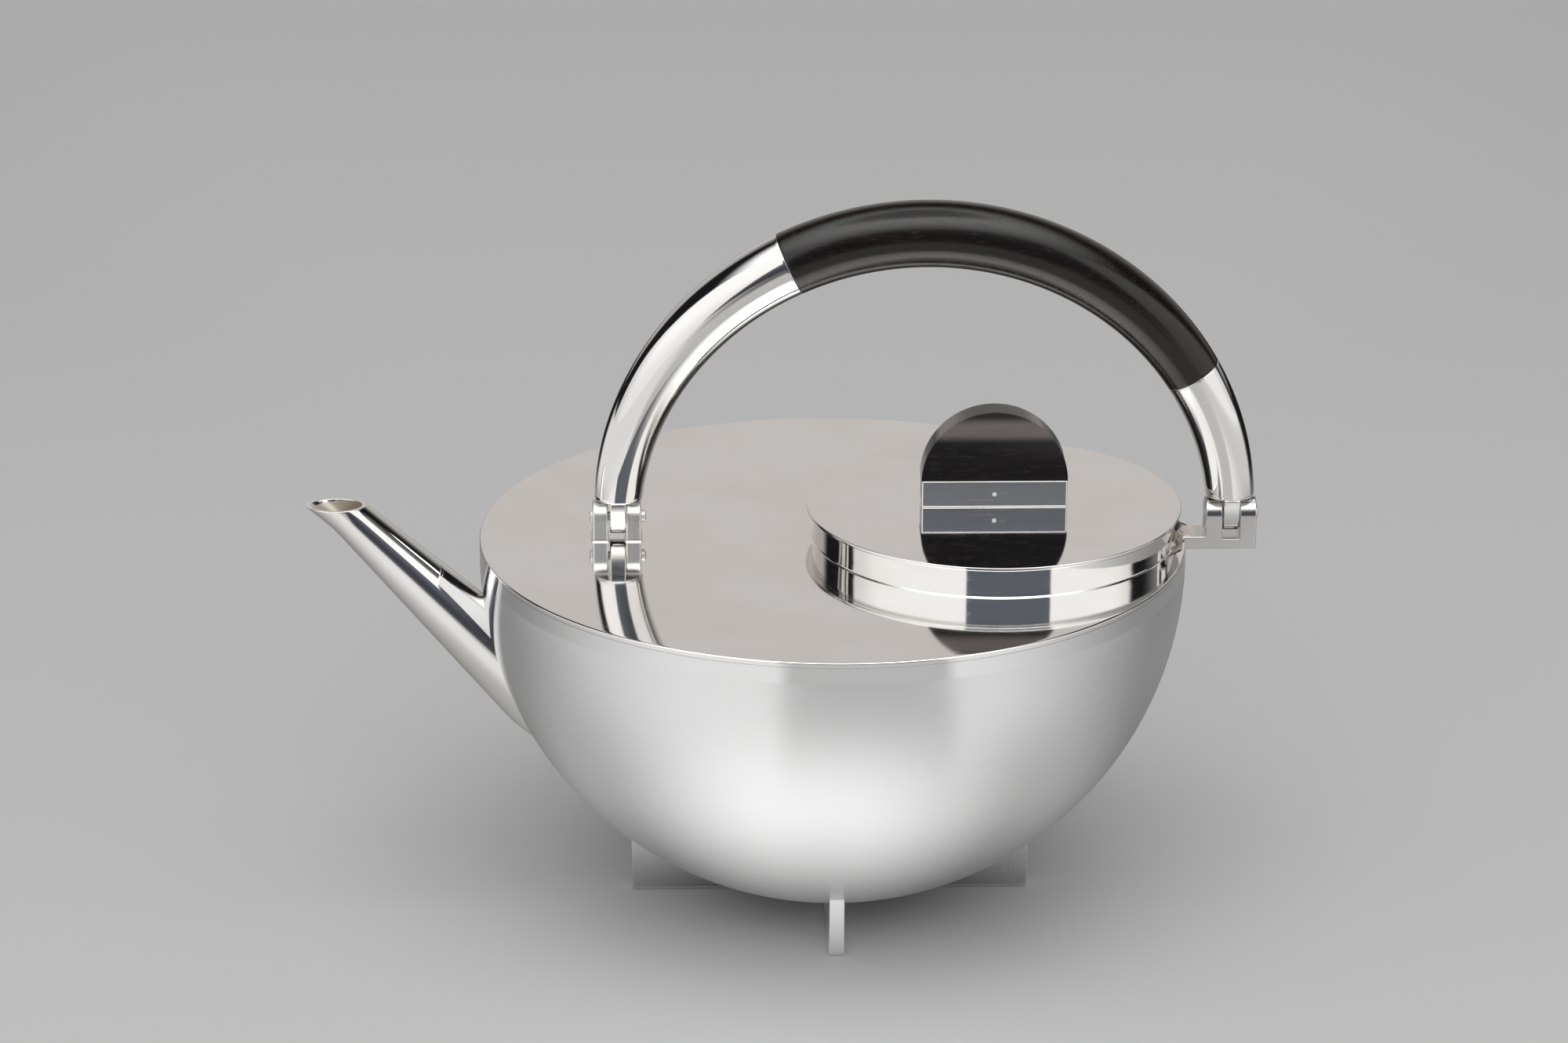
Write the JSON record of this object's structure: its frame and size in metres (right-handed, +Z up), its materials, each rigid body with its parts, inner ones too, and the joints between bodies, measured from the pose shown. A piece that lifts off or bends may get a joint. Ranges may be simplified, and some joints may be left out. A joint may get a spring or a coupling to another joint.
{
  "type": "teapot",
  "caption": "Half-round teapot on crossed foot plates, with a straight spout, an off-centre lid with a half-disc knob, and a hinged bail handle.",
  "frame": {"origin": "on the table, under the centre of the bowl, at the crossing of the foot plates", "axes": "+Z up; the spout points to -X and the overhanging hinge is at +X; the bail swings about a line along X"},
  "size_m": [0.2159, 0.16, 0.1655],
  "materials": {
    "silver_satin": "satin silver, softly polished",
    "silver_polished": "polished silver with faint brushing",
    "ebony": "near-black ebony with fine pores, semi-gloss"
  },
  "bodies": {
    "pot": {"bowl": "silver_satin", "top_plate": "silver_polished", "collar": "silver_polished", "spout": "silver_polished", "foot_plate_long": "silver_satin", "foot_plate_cross": "silver_satin", "left_hinge_ear_outer": "silver_polished", "left_hinge_ear_inner": "silver_polished", "left_hinge_pin": "silver_polished", "right_bracket": "silver_polished", "right_hinge_pin": "silver_polished"},
    "lid": {"lid_plate": "silver_polished", "lid_bezel": "silver_polished", "knob_holder": "silver_polished", "knob": "ebony", "knob_pin": "silver_polished"},
    "handle": {"handle_arm_left": "silver_polished", "handle_arm_right": "silver_polished", "left_hinge_tongue": "silver_polished", "right_hinge_tongue": "silver_polished", "handle_grip": "ebony", "grip_pin_left": "silver_polished", "grip_pin_right": "silver_polished"}
  },
  "joints": [
    {"name": "bail_swing", "type": "hinge", "parent": "pot", "child": "handle", "pos_m": [0.02075, 0, 0.0912], "axis": [1, 0, 0], "range_deg": [-77, 77]},
    {"name": "lid_lift", "type": "slide", "parent": "pot", "child": "lid", "axis": [0, 0, 1], "range_m": [0, 0.018]}
  ]
}
